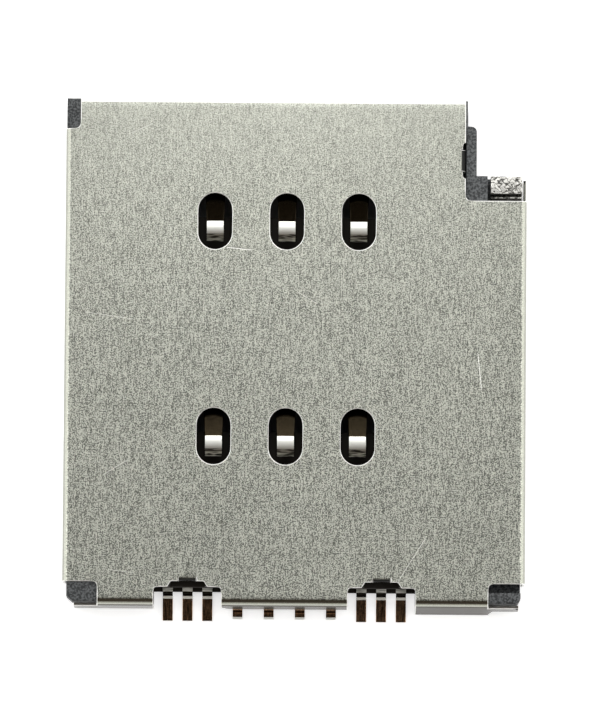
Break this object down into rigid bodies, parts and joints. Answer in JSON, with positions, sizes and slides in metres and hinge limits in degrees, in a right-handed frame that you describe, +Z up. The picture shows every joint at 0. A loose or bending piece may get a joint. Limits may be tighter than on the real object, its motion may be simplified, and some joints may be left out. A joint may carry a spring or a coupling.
{
  "type": "sim card socket",
  "caption": "Board-mounted card tray socket with a folded metal cover, contact windows and a side ejector rod.",
  "frame": {"origin": "on the board face, under the middle of the six contact points", "axes": "+X across the socket towards the ejector rod, +Y towards the mouth the tray goes into, +Z up from the board"},
  "size_m": [0.0163, 0.0185, 0.0016],
  "materials": {
    "cover_steel": "satin, rolled sheet",
    "base_plastic": "moulded, matte black",
    "contact_metal": "bright plated strip",
    "rod_steel": "rough, as sintered",
    "lever_steel": "plain stamped"
  },
  "bodies": {
    "socket": {"shell": "cover_steel", "housing": "base_plastic", "contact_supply": "contact_metal", "contact_reset": "contact_metal", "contact_clock": "contact_metal", "contact_ground": "contact_metal", "contact_programming": "contact_metal", "contact_data": "contact_metal", "detect_spring": "contact_metal", "detect_anvil": "contact_metal", "lever_pin": "lever_steel"},
    "rod": {"eject_rod": "rod_steel"},
    "lever": {"eject_lever": "lever_steel"}
  },
  "joints": [
    {"name": "rod_slide", "type": "slide", "parent": "socket", "child": "rod", "axis": [0, -1, 0], "range_m": [0, 0.0016]},
    {"name": "lever_turn", "type": "hinge", "parent": "socket", "child": "lever", "pos_m": [0.00603, -0.00775, 0.0008], "axis": [0, 0, -1], "range_deg": [0, 54]}
  ],
  "couplings": [
    {"joint": "lever_turn", "follows": "rod_slide", "rad_per_m": 589.05}
  ]
}
